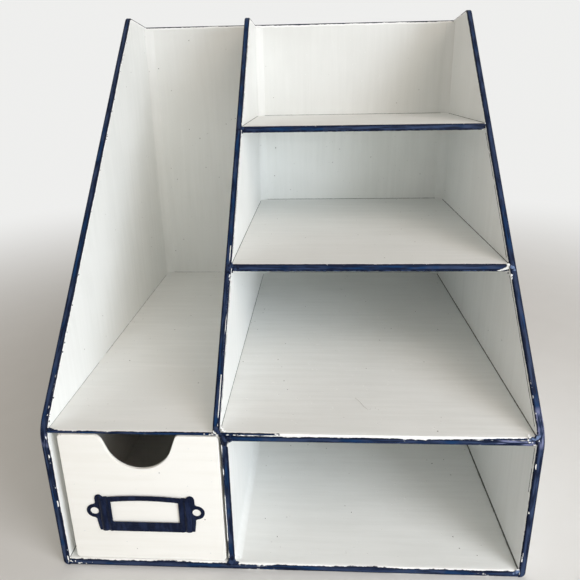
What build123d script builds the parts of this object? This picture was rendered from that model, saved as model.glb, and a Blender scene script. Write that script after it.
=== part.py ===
"""Envelope sorter with drawer: a painted paperboard desk organizer.

The file bay stands on the left above a drawer, and four open bays stand on the
right. All sizes are millimetres. The origin is at the centre of the underside,
+X is to the right, +Y to the rear and +Z up.
"""
from build123d import *
import math
import os

os.makedirs("parts", exist_ok=True)

# ---- driving dimensions: the case -------------------------------------------
case_width = 345.0
case_depth = 330.0
tip_height = 411.5          # front tip of the side panels
tip_fall = 5.0              # how far a side panel's top edge falls to the rear
tip_run = 55.6              # length of a side panel's top edge, front to rear
divider_tip_drop = 2.5      # the upper divider's tip, below the side panels' tips
kink_height = 121.0         # where the upright front edge starts to lean back
kink_radius = 25.0
tip_radius = 8.0
side_thickness = 5.0
side_bottom_radius = 4.0    # outer bottom corner, seen from the front
rim_radius = 1.2            # painted rims of the boards
deck_rim_radius = 0.7       # rim of the thin deck sheet

back_thickness = 5.0
base_thickness = 6.0
divider_thickness = 5.0
shelf_thickness = 5.0
deck_thickness = 2.3        # thin sheet that floors the file bay and lower bay
tray_top_thickness = 4.6    # stiffening board under the deck, above the tray

file_bay_width = 116.5      # clear width between left side and upper divider
deck_height = 119.5         # top of the deck
middle_shelf_height = 212.5
upper_shelf_height = 310.2
front_setback = 2.0         # deck, lower divider and drawer, behind the front
base_setback = 0.4

# ---- driving dimensions: the gummed corner strips ----------------------------
strip_leg = 8.0
strip_hollow = 1.0          # how far the strip's face curves in
strip_top_gap = 3.0         # from the back panel's top edge
tray_strip_leg = 5.0
tray_strip_hollow = 0.6
tray_strip_setback = 3.0

# ---- driving dimensions: the drawer ------------------------------------------
drawer_width = 114.0
drawer_board = 2.0
drawer_right_gap = 1.5      # the drawer sits over to the right of its bay
drawer_floor_gap = 0.3
drawer_roof_gap = 0.9
drawer_rear_gap = 8.0
drawer_corner_radius = 3.0
drawer_side_radius = 1.6
drawer_rim_radius = 0.5     # rim of the drawer's front face
notch_depth = 28.2          # finger notch, down from the front's top edge
notch_radius = 24.2         # its round bottom
notch_flare = 20.0          # lean of its straight flanks off upright, in degrees
notch_left_shoulder = 8.0   # radius where the left flank meets the top edge
notch_right_shoulder = 3.0  # and the right one, which is cut sharper

# ---- driving dimensions: the label holder ------------------------------------
holder_height_on_drawer = 44.7   # its centre above the drawer's bottom edge
holder_bottom = 17.5             # from its centre to the bottom edge
holder_shoulder = 12.4           # from its centre to the top bar's ends
holder_crown = 14.5              # from its centre to the top bar's middle
holder_half_width_low = 35.6
holder_half_width = 36.8
holder_waist_drop = 9.0          # where the flank is widest, below the centre
frame_half_width = 33.4          # raised part of the holder
ear_spacing = 75.6               # between the centres of the two ear holes
ear_radius = 5.9
ear_hole_radius = 3.1
ear_thickness = 1.0
ear_neck_radius = 2.0
lobe_radius = 3.0
lobe_inset = 3.2                 # from the widest flank to the lobe's centre
lobe_drop = 0.8                  # from the top bar's ends to the lobe's centre
frame_thickness = 1.6
rib_thickness = 2.0
rib_width = 5.2
rib_centre = 30.2
rib_end_gap = 2.0                # rib ends, from the frame's top and bottom
window_half_width = 24.9
window_bottom = 9.1              # below the holder's centre
window_top = 8.9                 # above the centre, at the window's sides
window_crown = 10.4              # above the centre, at its middle
pocket_depth = 0.9               # slot for a card, behind the frame
pocket_half_width = 27.4
pocket_floor = 12.6              # below the holder's centre

# ---- places worked out from them ---------------------------------------------
half_width = case_width / 2
front = -case_depth / 2
rear = case_depth / 2
left_inner = -half_width + side_thickness
right_inner = half_width - side_thickness
back_inner = rear - back_thickness
tip_y = rear - tip_run
rear_height = tip_height - tip_fall
deck_front = front + front_setback
deck_underside = deck_height - deck_thickness
tray_top_underside = deck_underside - tray_top_thickness
upper_divider_left = left_inner + file_bay_width
upper_divider_right = upper_divider_left + divider_thickness
lower_divider_left = upper_divider_right
lower_divider_right = lower_divider_left + divider_thickness

drawer_right = lower_divider_left - drawer_right_gap
drawer_left = drawer_right - drawer_width
drawer_centre_x = (drawer_left + drawer_right) / 2
drawer_bottom_z = base_thickness + drawer_floor_gap
drawer_top_z = deck_underside - drawer_roof_gap
drawer_front_face = deck_front
drawer_front_rear = drawer_front_face + drawer_board
drawer_rear = back_inner - drawer_rear_gap
holder_z = drawer_bottom_z + holder_height_on_drawer

flare = math.radians(notch_flare)
notch_centre_z = drawer_top_z - notch_depth + notch_radius
notch_bend_x = notch_radius * math.cos(flare)
notch_bend_z = notch_centre_z - notch_radius * math.sin(flare)
notch_half_width = notch_bend_x + (drawer_top_z - notch_bend_z) * math.tan(flare)

slope = (tip_y - front) / (tip_height - kink_height)
tolerance = 1e-3            # for picking edges and corners by their place


def front_edge(height):
    """Y of the side panels' front edge at a height, on its straight lines."""
    return front + max(0.0, height - kink_height) * slope


def finish(piece, name):
    """Label a finished piece and write its file."""
    piece.part.label = name
    export_step(piece.part, "parts/" + name + ".step")


def board(name, x_range, y_range, z_range, rim=0.0):
    """A flat board between three pairs of planes, its front rim rounded."""
    x_size = x_range[1] - x_range[0]
    y_size = y_range[1] - y_range[0]
    z_size = z_range[1] - z_range[0]
    centre = ((x_range[0] + x_range[1]) / 2, (y_range[0] + y_range[1]) / 2)
    with BuildPart() as piece:
        with BuildSketch(Plane.XY.offset(z_range[0])):
            with Locations(centre):
                Rectangle(x_size, y_size)
        extrude(amount=z_size)
        if rim > 0.0:
            front_face = piece.faces().sort_by(Axis.Y)[0]
            along = Axis.X if x_size > z_size else Axis.Z
            fillet(front_face.edges().filter_by(along), radius=rim)
    finish(piece, name)


# ---- side panels: upright below the kink, leaning back above it ----------------
def side_profile(top):
    """Outline of an upright board with its tip at a height, depth across and height up."""
    tip_corner = (front_edge(top), top)
    with BuildSketch() as profile:
        with BuildLine():
            Polyline(
                (front, 0.0),
                (front, kink_height),
                tip_corner,
                (rear, rear_height),
                (rear, 0.0),
                close=True,
            )
        make_face()
        kink = profile.vertices().sort_by_distance((front, kink_height))[0]
        fillet(kink, radius=kink_radius)
        tip = profile.vertices().sort_by_distance(tip_corner)[0]
        fillet(tip, radius=tip_radius)
    return profile.sketch


def rim_edges(panel, lowest):
    """The long edges of a panel along its front and its top, above a height."""
    flat_faces = panel.faces().filter_by(Axis.X)
    return flat_faces.edges().filter_by(
        lambda e: e.center().Z > lowest + tolerance
        and e.center().Y < back_inner - tolerance
    )


panel_profile = side_profile(tip_height)

with BuildPart() as left_side_panel:
    with BuildSketch(Plane.YZ.offset(-half_width)):
        add(panel_profile)
    extrude(amount=side_thickness)
    foot_face = left_side_panel.faces().sort_by(Axis.Z)[0]
    fillet(foot_face.edges().sort_by(Axis.X)[0], radius=side_bottom_radius)
    fillet(rim_edges(left_side_panel, side_bottom_radius), radius=rim_radius)
finish(left_side_panel, "left_side_panel")

with BuildPart() as right_side_panel:
    with BuildSketch(Plane.YZ.offset(right_inner)):
        add(panel_profile)
    extrude(amount=side_thickness)
    foot_face = right_side_panel.faces().sort_by(Axis.Z)[0]
    fillet(foot_face.edges().sort_by(Axis.X)[-1], radius=side_bottom_radius)
    fillet(rim_edges(right_side_panel, side_bottom_radius), radius=rim_radius)
finish(right_side_panel, "right_side_panel")

# ---- upper divider: a slightly lower profile, from the deck up, before the back ----
with BuildPart() as upper_divider:
    with BuildSketch(Plane.YZ.offset(upper_divider_left)):
        add(side_profile(tip_height - divider_tip_drop))
        with BuildLine():
            Polyline(
                (front, deck_height),
                (back_inner, deck_height),
                (back_inner, tip_height),
                (front, tip_height),
                close=True,
            )
        make_face(mode=Mode.INTERSECT)
    extrude(amount=divider_thickness)
    fillet(rim_edges(upper_divider, deck_height), radius=rim_radius)
finish(upper_divider, "upper_divider")

# ---- flat boards of the case ---------------------------------------------------
with BuildPart() as back_panel:
    with BuildSketch(Plane.XY):
        with Locations((0.0, (back_inner + rear) / 2)):
            Rectangle(right_inner - left_inner, back_thickness)
    extrude(amount=rear_height)
    top_face = back_panel.faces().sort_by(Axis.Z)[-1]
    fillet(top_face.edges().filter_by(Axis.X), radius=rim_radius)
finish(back_panel, "back_panel")

board(
    "base_panel",
    (left_inner, right_inner),
    (front + base_setback, back_inner),
    (0.0, base_thickness),
    rim_radius,
)
board(
    "deck_sheet",
    (left_inner, right_inner),
    (deck_front, back_inner),
    (deck_underside, deck_height),
    deck_rim_radius,
)
board(
    "tray_top_board",
    (lower_divider_left, right_inner),
    (deck_front, back_inner),
    (tray_top_underside, deck_underside),
    rim_radius,
)
board(
    "lower_divider",
    (lower_divider_left, lower_divider_right),
    (deck_front, back_inner),
    (base_thickness, tray_top_underside),
    rim_radius,
)
board(
    "middle_shelf",
    (upper_divider_right, right_inner),
    (front_edge(middle_shelf_height), back_inner),
    (middle_shelf_height - shelf_thickness, middle_shelf_height),
    rim_radius,
)
board(
    "upper_shelf",
    (upper_divider_right, right_inner),
    (front_edge(upper_shelf_height), back_inner),
    (upper_shelf_height - shelf_thickness, upper_shelf_height),
    rim_radius,
)

# ---- gummed strips in the inner corners of the bays ------------------------------
def strip_section(corner, across_way, leg, hollow, up_way):
    """Section of a strip in a corner: two flat legs and a hollow face."""
    middle = leg / 2 - hollow
    on_across = (corner[0] + across_way * leg, corner[1])
    on_up = (corner[0], corner[1] + up_way * leg)
    bend = (corner[0] + across_way * middle, corner[1] + up_way * middle)
    with BuildSketch() as section:
        with BuildLine():
            Line(on_up, corner)
            Line(corner, on_across)
            ThreePointArc(on_across, bend, on_up)
        make_face()
    return section.sketch


strip_top = rear_height - strip_top_gap
middle_shelf_underside = middle_shelf_height - shelf_thickness
upper_shelf_underside = upper_shelf_height - shelf_thickness
corner_strips = [
    ("file_bay_strip_left", left_inner, 1, deck_height, strip_top),
    ("file_bay_strip_right", upper_divider_left, -1, deck_height, strip_top),
    ("upper_bay_strip_left", upper_divider_right, 1, upper_shelf_height, strip_top),
    ("upper_bay_strip_right", right_inner, -1, upper_shelf_height, strip_top),
    ("middle_bay_strip_left", upper_divider_right, 1, middle_shelf_height,
     upper_shelf_underside),
    ("middle_bay_strip_right", right_inner, -1, middle_shelf_height,
     upper_shelf_underside),
    ("lower_bay_strip_left", upper_divider_right, 1, deck_height,
     middle_shelf_underside),
    ("lower_bay_strip_right", right_inner, -1, deck_height,
     middle_shelf_underside),
]
for name, wall_x, inward, low, high in corner_strips:
    with BuildPart() as strip:
        with BuildSketch(Plane.XY.offset(low)):
            add(strip_section((wall_x, back_inner), inward, strip_leg, strip_hollow, -1))
        extrude(amount=high - low)
    finish(strip, name)

with BuildPart() as tray_floor_strip:
    with BuildSketch(Plane.XZ.offset(-back_inner)):
        floor_corner = (lower_divider_right, base_thickness)
        add(strip_section(floor_corner, 1, tray_strip_leg, tray_strip_hollow, 1))
    extrude(amount=back_inner - deck_front - tray_strip_setback)
finish(tray_floor_strip, "tray_floor_strip")

# ---- drawer ----------------------------------------------------------------------
drawer_height = drawer_top_z - drawer_bottom_z
with BuildPart() as drawer_front:
    with BuildSketch(Plane.XZ.offset(-drawer_front_rear)) as face_outline:
        with Locations((drawer_centre_x, (drawer_bottom_z + drawer_top_z) / 2)):
            Rectangle(drawer_width, drawer_height)
        fillet(face_outline.vertices(), radius=drawer_corner_radius)
        with Locations((drawer_centre_x, notch_centre_z)):
            Circle(notch_radius, mode=Mode.SUBTRACT)
        with BuildLine():
            Polyline(
                (drawer_centre_x - notch_half_width, drawer_top_z),
                (drawer_centre_x - notch_bend_x, notch_bend_z),
                (drawer_centre_x + notch_bend_x, notch_bend_z),
                (drawer_centre_x + notch_half_width, drawer_top_z),
                close=True,
            )
        make_face(mode=Mode.SUBTRACT)
        for side, shoulder_radius in ((-1, notch_left_shoulder), (1, notch_right_shoulder)):
            corner = (drawer_centre_x + side * notch_half_width, drawer_top_z)
            shoulder = face_outline.vertices().sort_by_distance(corner)[0]
            fillet(shoulder, radius=shoulder_radius)
    extrude(amount=drawer_board)
    front_face = drawer_front.faces().sort_by(Axis.Y)[0]
    fillet(front_face.edges(), radius=drawer_rim_radius)
finish(drawer_front, "drawer_front")

for name, outer_x, inward in (
    ("drawer_left_side", drawer_left, 1),
    ("drawer_right_side", drawer_right, -1),
):
    with BuildPart() as drawer_side:
        with BuildSketch(Plane.XY.offset(drawer_bottom_z)):
            with Locations(
                (outer_x + inward * drawer_board / 2, (drawer_front_rear + drawer_rear) / 2)
            ):
                Rectangle(drawer_board, drawer_rear - drawer_front_rear)
        extrude(amount=drawer_height)
        outer_face = drawer_side.faces().sort_by(Axis.X)[0 if inward > 0 else -1]
        fillet(outer_face.edges().filter_by(Axis.Y), radius=drawer_side_radius)
    finish(drawer_side, name)

drawer_inner_left = drawer_left + drawer_board
drawer_inner_right = drawer_right - drawer_board
board(
    "drawer_back",
    (drawer_inner_left, drawer_inner_right),
    (drawer_rear - drawer_board, drawer_rear),
    (drawer_bottom_z, drawer_top_z),
)
board(
    "drawer_bottom",
    (drawer_inner_left, drawer_inner_right),
    (drawer_front_rear, drawer_rear - drawer_board),
    (drawer_bottom_z, drawer_bottom_z + drawer_board),
)

# ---- label holder: a pressed metal frame glued to the drawer front -----------------
holder_plane = Plane(
    origin=(drawer_centre_x, drawer_front_face, holder_z),
    x_dir=(1, 0, 0),
    z_dir=(0, -1, 0),
)


def holder_outline():
    """Outline of the holder about its own centre, X across and Y up."""
    ear_x = ear_spacing / 2
    lobe_x = holder_half_width - lobe_inset
    with BuildSketch() as outline:
        with BuildLine():
            Polyline(
                (lobe_x, holder_shoulder),
                (holder_half_width, holder_shoulder - lobe_drop),
                (holder_half_width, -holder_waist_drop),
                (holder_half_width_low, -holder_bottom),
                (-holder_half_width_low, -holder_bottom),
                (-holder_half_width, -holder_waist_drop),
                (-holder_half_width, holder_shoulder - lobe_drop),
                (-lobe_x, holder_shoulder),
            )
            ThreePointArc(
                (-lobe_x, holder_shoulder), (0.0, holder_crown), (lobe_x, holder_shoulder)
            )
        make_face()
        with Locations((ear_x, 0.0), (-ear_x, 0.0)):
            Circle(ear_radius)
        necks = outline.vertices().filter_by(
            lambda v: abs(abs(v.X) - holder_half_width) < tolerance
            and abs(v.Y) < ear_radius
        )
        fillet(necks, radius=ear_neck_radius)
        with Locations(
            (lobe_x, holder_shoulder - lobe_drop), (-lobe_x, holder_shoulder - lobe_drop)
        ):
            Circle(lobe_radius)
    return outline.sketch


holder_shape = holder_outline()
with BuildPart() as label_holder:
    with BuildSketch(holder_plane):
        add(holder_shape)
    extrude(amount=ear_thickness)
    with BuildSketch(holder_plane):
        add(holder_shape)
        holder_height = holder_crown + holder_bottom
        Rectangle(2 * frame_half_width, 2 * holder_height, mode=Mode.INTERSECT)
    extrude(amount=frame_thickness)
    rib_low = -holder_bottom + rib_end_gap
    rib_high = holder_shoulder - rib_end_gap
    for side in (-1, 1):
        rib_x = drawer_centre_x + side * rib_centre
        rib_foot = drawer_front_face - frame_thickness
        with BuildSketch(Plane.XY.offset(holder_z + rib_low)):
            with BuildLine():
                Line((rib_x - rib_width / 2, rib_foot), (rib_x + rib_width / 2, rib_foot))
                ThreePointArc(
                    (rib_x + rib_width / 2, rib_foot),
                    (rib_x, drawer_front_face - rib_thickness),
                    (rib_x - rib_width / 2, rib_foot),
                )
            make_face()
        extrude(amount=rib_high - rib_low)
    with BuildSketch(holder_plane):
        with Locations((0.0, -pocket_floor)):
            Rectangle(
                2 * pocket_half_width,
                pocket_floor + holder_height,
                align=(Align.CENTER, Align.MIN),
            )
    extrude(amount=pocket_depth, mode=Mode.SUBTRACT)
    with BuildSketch(holder_plane):
        with BuildLine():
            Polyline(
                (window_half_width, window_top),
                (window_half_width, -window_bottom),
                (-window_half_width, -window_bottom),
                (-window_half_width, window_top),
            )
            ThreePointArc(
                (-window_half_width, window_top),
                (0.0, window_crown),
                (window_half_width, window_top),
            )
        make_face()
    extrude(amount=rib_thickness, mode=Mode.SUBTRACT)
    with BuildSketch(holder_plane):
        with Locations((ear_spacing / 2, 0.0), (-ear_spacing / 2, 0.0)):
            Circle(ear_hole_radius)
    extrude(amount=rib_thickness, mode=Mode.SUBTRACT)
finish(label_holder, "label_holder")
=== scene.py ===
"""Looks of the envelope sorter with drawer: hand-laid paint, seams, strips and light."""

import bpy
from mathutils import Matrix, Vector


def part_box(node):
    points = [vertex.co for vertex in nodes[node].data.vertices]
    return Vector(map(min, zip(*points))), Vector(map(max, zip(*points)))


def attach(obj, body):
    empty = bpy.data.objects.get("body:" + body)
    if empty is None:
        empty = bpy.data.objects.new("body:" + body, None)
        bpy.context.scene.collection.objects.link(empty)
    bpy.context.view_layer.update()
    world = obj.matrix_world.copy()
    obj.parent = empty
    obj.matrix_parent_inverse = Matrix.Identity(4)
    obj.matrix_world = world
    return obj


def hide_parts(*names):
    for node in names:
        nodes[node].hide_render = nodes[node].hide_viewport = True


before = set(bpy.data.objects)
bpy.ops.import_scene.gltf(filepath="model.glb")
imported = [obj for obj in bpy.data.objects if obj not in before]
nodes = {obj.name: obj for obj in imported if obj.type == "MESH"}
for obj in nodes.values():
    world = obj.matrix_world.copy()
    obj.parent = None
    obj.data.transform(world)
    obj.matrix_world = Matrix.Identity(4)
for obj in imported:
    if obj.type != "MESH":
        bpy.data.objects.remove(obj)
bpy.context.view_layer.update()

from collections import namedtuple
import math

import bmesh
import bpy
from mathutils import Matrix, Vector, noise

MM = 0.001


def low(node):
    """A board's lowest corner at rest."""
    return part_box(node)[0]


def high(node):
    """A board's highest corner at rest."""
    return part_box(node)[1]


# ---- where the boards lie, in metres, in the model's own frame ----
FRONT = low("left_side_panel").y
REAR = high("back_panel").y
REAR_TOP = high("back_panel").z
LEFT_INNER = high("left_side_panel").x
RIGHT_INNER = low("right_side_panel").x
DIVIDER_LEFT = low("upper_divider").x
DIVIDER_RIGHT = high("upper_divider").x
LOWER_LEFT = low("lower_divider").x
TRAY_LEFT = high("lower_divider").x
BACK_INNER = low("back_panel").y
DECK_TOP = high("deck_sheet").z
DECK_FRONT = low("deck_sheet").y
TRAY_ROOF = low("tray_top_board").z
BASE_TOP = high("base_panel").z
MIDDLE_TOP = high("middle_shelf").z
MIDDLE_FRONT = low("middle_shelf").y
UPPER_TOP = high("upper_shelf").z
UPPER_FRONT = low("upper_shelf").y
SHELF = MIDDLE_TOP - low("middle_shelf").z

# ---- the side panels' front edge: upright, then leaning back to a round tip ----
KINK_HEIGHT = 0.121
TIP_Y = 0.1094
TIP_HEIGHT = 0.4115         # the panels' tips, before they are rounded
DIVIDER_TIP_HEIGHT = 0.409
KINK_BLEND = 0.0106         # smooth-minimum width that follows the kink's 25 mm radius
TIP_BLEND = 0.0043          # and the one for the tips' 8 mm radius
LEAN_RUN = TIP_Y - FRONT
LEAN_RISE = TIP_HEIGHT - KINK_HEIGHT
LEAN_LENGTH = math.hypot(LEAN_RUN, LEAN_RISE)
LEAN_NORMAL = (0.0, LEAN_RISE / LEAN_LENGTH, -LEAN_RUN / LEAN_LENGTH)

# ---- colours of the paints ----
BOARD_WHITE = ((0.900, 0.912, 0.895, 1.0), (0.855, 0.868, 0.85, 1.0))
# the drawer's warmer cream white, made lighter than the boards' white as painted light on its
# front
DRAWER_CREAM_AND_LIGHT = ((0.955, 0.938, 0.895, 1.0), (0.925, 0.905, 0.855, 1.0))
WHITE_THICK = (0.96, 0.96, 0.945, 1.0)
# grey of the painted shade towards the top of the back panel and the strips
TOP_SHADE_GREY = (0.60, 0.59, 0.56, 1.0)
NAVY_PAINT = (0.0035, 0.0075, 0.026, 1.0)
# lighter navy: worn paint, and the colour of the painted highlight along the rims
NAVY_WORN_AND_SHEEN = (0.030, 0.049, 0.108, 1.0)
NAVY_BLUE = (0.007, 0.036, 0.110, 1.0)
# pale navy for painted highlights where a rounded rim catches the light
NAVY_PAINTED_HIGHLIGHT = (0.18, 0.195, 0.33, 1.0)
# painted shade for the dark and faint lines in seams, gaps and the crack
SEAM_SHADE = (0.16, 0.16, 0.15, 1.0)
FAINT_SEAM_SHADE = (0.42, 0.42, 0.39, 1.0)
SPECK_DARK = (0.22, 0.21, 0.19, 1.0)
HOLDER_WORN = (0.012, 0.020, 0.055, 1.0)
# pale blue of rubbed paint, partly a painted highlight on the navy
BLUE_RUBBED_AND_HIGHLIGHT = (0.15, 0.21, 0.36, 1.0)

# ---- how the paints shine, and how high their brush marks stand, in metres ----
SATIN_SHINE = 0.09
WHITE_ROUGH = 0.46
NAVY_ROUGH = 0.34
DABBED_ROUGH = 0.32
SEAM_ROUGH = 0.55
BRUSHED_DEPTH = 0.00022
DABBED_DEPTH = 0.00025
SEAM_DEPTH = 0.0002


class NodeSheet:
    """Puts nodes on one tree, each with its inputs given as values or as links."""

    def __init__(self, tree):
        self.tree = tree

    def put(self, kind, inputs=(), out=0, **settings):
        node = self.tree.nodes.new(kind)
        for name, value in settings.items():
            setattr(node, name, value)
        for key, value in dict(inputs).items():
            socket = node.inputs[key]
            if isinstance(value, bpy.types.NodeSocket):
                self.tree.links.new(value, socket)
            else:
                socket.default_value = value
        return node.outputs[out] if node.outputs else node

    def sum_of(self, operation, *values, clamp=False):
        return self.put("ShaderNodeMath", enumerate(values), operation=operation, use_clamp=clamp)

    def fade(self, value, start, end):
        """0 at start and 1 at end, eased between them."""
        return self.put(
            "ShaderNodeMapRange",
            {"Value": value, "From Min": start, "From Max": end},
            interpolation_type="SMOOTHSTEP",
        )

    def blend(self, factor, first, second):
        """The first colour where factor is 0, and the second where it is 1."""
        return self.put(
            "ShaderNodeMix", {0: factor, 6: first, 7: second}, out=2, data_type="RGBA"
        )


class Paint(NodeSheet):
    """A material in the making, with its pattern on Object coordinates."""

    def __init__(self, name):
        self.material = bpy.data.materials.new(name)
        self.material.use_nodes = True
        super().__init__(self.material.node_tree)
        self.tree.nodes.clear()
        self.place = self.put("ShaderNodeTexCoord", out="Object")

    def turned(self, stretch=(1, 1, 1), shift=(0, 0, 0)):
        return self.put(
            "ShaderNodeMapping", {"Vector": self.place, "Location": shift, "Scale": stretch}
        )

    def cloud(self, size, stretch=(1, 1, 1), shift=(0, 0, 0), detail=3.0):
        """Noise from 0 to 1 whose lumps are about size metres across."""
        fine_share = 0.55
        return self.put(
            "ShaderNodeTexNoise",
            {"Vector": self.turned(stretch, shift), "Scale": 1.0 / size, "Detail": detail,
             "Roughness": fine_share},
        )

    def past_plane(self, normal, point):
        """Distance in metres past a plane, along its normal."""
        dot = self.put(
            "ShaderNodeVectorMath", {0: self.place, 1: normal}, out="Value",
            operation="DOT_PRODUCT",
        )
        return self.sum_of("SUBTRACT", dot, Vector(normal).dot(Vector(point)))

    def away_from(self, point):
        """Distance in metres from a point."""
        return self.put(
            "ShaderNodeVectorMath", {0: self.place, 1: point}, out="Value", operation="DISTANCE"
        )

    def finish(self, colour, roughness, height, depth):
        """Close the material: colour, roughness, and a bump of a depth in metres."""
        bump = self.put(
            "ShaderNodeBump", {"Strength": 1.0, "Distance": depth, "Height": height}
        )
        shader = self.put(
            "ShaderNodeBsdfPrincipled",
            {"Base Color": colour, "Roughness": roughness, "Normal": bump,
             "Specular IOR Level": SATIN_SHINE},
        )
        self.put("ShaderNodeOutputMaterial", {"Surface": shader})
        return self.material


# ---- navy rims: how far a point lies behind the painted edge of each board ----
ALONG_BOARD = (0.08, 1.0, 1.0)
UP_THE_SIDE = (1.0, 0.10, 0.10)
LEVEL_STROKES = (0.07, 1.0, 1.0)
UPRIGHT_STROKES = (1.0, 1.0, 0.06)

Rim = namedtuple("Rim", "distance reach along middle rubbed scraped")


def halfway(node, axis):
    """A board's mid-plane, as a normal and a point, and half its thickness."""
    middle = (low(node) + high(node)) / 2
    return axis, middle, (high(node) - low(node)).dot(Vector(axis)) / 2


def straight_rim(node):
    """Navy on the straight front edge of a level board or of the lower divider."""
    reach = 0.0014
    upright = high(node).z - low(node).z > high(node).x - low(node).x
    y_front = low(node).y
    return Rim(
        lambda paint: paint.past_plane((0, 1, 0), (0, y_front, 0)), reach,
        UP_THE_SIDE if upright else ALONG_BOARD,
        halfway(node, (1, 0, 0) if upright else (0, 0, 1)), (), 0.0,
    )


def side_rim(node, tip_height, rubbed=(), scraped=0.0):
    """Navy on the kinked front edge, the round tip and the top edge of an upright board."""
    reach = 0.0013
    tip_y = FRONT + (tip_height - KINK_HEIGHT) * LEAN_RUN / LEAN_RISE
    top_fall = (tip_height - REAR_TOP) / (REAR - tip_y)

    def distance(paint):
        upright = paint.past_plane((0, 1, 0), (0, FRONT, 0))
        leaning = paint.past_plane(LEAN_NORMAL, (0, FRONT, KINK_HEIGHT))
        front = paint.sum_of("SMOOTH_MIN", upright, leaning, KINK_BLEND)
        top = paint.past_plane((0, -top_fall, -1), (0, tip_y, tip_height))
        return paint.sum_of("SMOOTH_MIN", front, top, TIP_BLEND)

    return Rim(distance, reach, UP_THE_SIDE, halfway(node, (1, 0, 0)), rubbed, scraped)


def rim_below(node, height, rubbed=()):
    """Navy on a level board's front edge, up to a height, with white left above it."""
    reach = 0.0005
    y_front = low(node).y

    def distance(paint):
        behind = paint.past_plane((0, 1, 0), (0, y_front, 0))
        above = paint.past_plane((0, 0, 1), (0, 0, height))
        return paint.sum_of("MAXIMUM", behind, above)

    return Rim(distance, reach, ALONG_BOARD, halfway(node, (0, 0, 1)), rubbed, 0.0)


def deck_rim():
    """Navy on the deck's thin edge: all of it at the left, then a line that gives out."""
    reach = 0.0005
    whole_end = DIVIDER_RIGHT + 0.013        # where the navy stops covering the whole edge
    whole_fade = 0.3                         # how fast it draws back to the top line
    line_end = DIVIDER_RIGHT + 0.030
    line_taper = 0.06
    line_foot = DECK_TOP - 0.0006
    foot = low("deck_sheet").z - 0.0004      # navy that comes up from the board below
    foot_rises_from = 0.105
    foot_slope = 0.030

    def distance(paint):
        behind = paint.past_plane((0, 1, 0), (0, DECK_FRONT, 0))
        below = paint.past_plane((0, 0, -1), (0, 0, line_foot))
        left_part = paint.past_plane((-1, 0, 0), (whole_end, 0, 0))
        whole = paint.sum_of("MAXIMUM", left_part, 0.0)
        line = paint.sum_of("SUBTRACT", below, paint.sum_of("MULTIPLY", whole, whole_fade))
        past_end = paint.past_plane((1, 0, 0), (line_end, 0, 0))
        taper = paint.sum_of("MULTIPLY", past_end, line_taper)
        upper_line = paint.sum_of("MAXIMUM", line, taper)
        level_foot = paint.past_plane((0, 0, 1), (0, 0, foot))
        rising_foot = paint.past_plane((-foot_slope, 0, 1), (foot_rises_from, 0, foot))
        lower_part = paint.sum_of("MINIMUM", level_foot, rising_foot)
        edge = paint.sum_of("MINIMUM", upper_line, lower_part)
        return paint.sum_of("MAXIMUM", behind, edge)

    return Rim(distance, reach, ALONG_BOARD, halfway("deck_sheet", (0, 0, 1)), (), 0.0)


def back_rim():
    """Navy on the back panel's top edge."""
    reach = 0.0010
    return Rim(lambda paint: paint.past_plane((0, 0, -1), (0, 0, REAR_TOP)), reach,
               ALONG_BOARD, halfway("back_panel", (0, 1, 0)), (), 0.0)


# ---- paints ----
def white_coat(paint, seed, whites, strokes_run):
    """Brushed white paint: its colour and its surface height, 0 to 1."""
    specks_to_a_metre = 62.0
    speck_edge, speck_core = 0.045, 0.02         # shares of the room between two specks
    speck_strength = 0.7
    blotch = paint.cloud(0.09, shift=(seed, 0, 0), detail=2.0)
    strokes = paint.cloud(0.005, stretch=strokes_run, shift=(seed, seed, 0))
    lumps = paint.cloud(0.012, shift=(0, seed, 0))
    tone = paint.sum_of("ADD", paint.sum_of("MULTIPLY", blotch, 0.55),
                        paint.sum_of("MULTIPLY", strokes, 0.45))
    colour = paint.blend(paint.fade(tone, 0.38, 0.62), whites[1], whites[0])
    cells = paint.put(
        "ShaderNodeTexVoronoi",
        {"Vector": paint.turned(shift=(seed, 0, seed)), "Scale": specks_to_a_metre},
        out="Distance",
    )
    speck = paint.fade(cells, speck_edge, speck_core)
    colour = paint.blend(paint.sum_of("MULTIPLY", speck, speck_strength), colour, SPECK_DARK)
    height = paint.sum_of("ADD", paint.sum_of("MULTIPLY", strokes, 0.7),
                          paint.sum_of("MULTIPLY", lumps, 0.3))
    return colour, height


def shade_towards_top(paint, colour):
    """Painted shade: the white turns greyer towards the top, in uneven patches."""
    shade_from, shade_at = 0.275, 0.350            # heights in metres
    most = 0.36
    climb = paint.fade(paint.past_plane((0, 0, 1), (0, 0, 0)), shade_from, shade_at)
    uneven = paint.fade(paint.cloud(0.05, detail=2.0), -0.6, 0.6)
    top_shade = paint.sum_of("MULTIPLY", paint.sum_of("MULTIPLY", climb, uneven), most)
    return paint.blend(top_shade, colour, TOP_SHADE_GREY)


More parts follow.
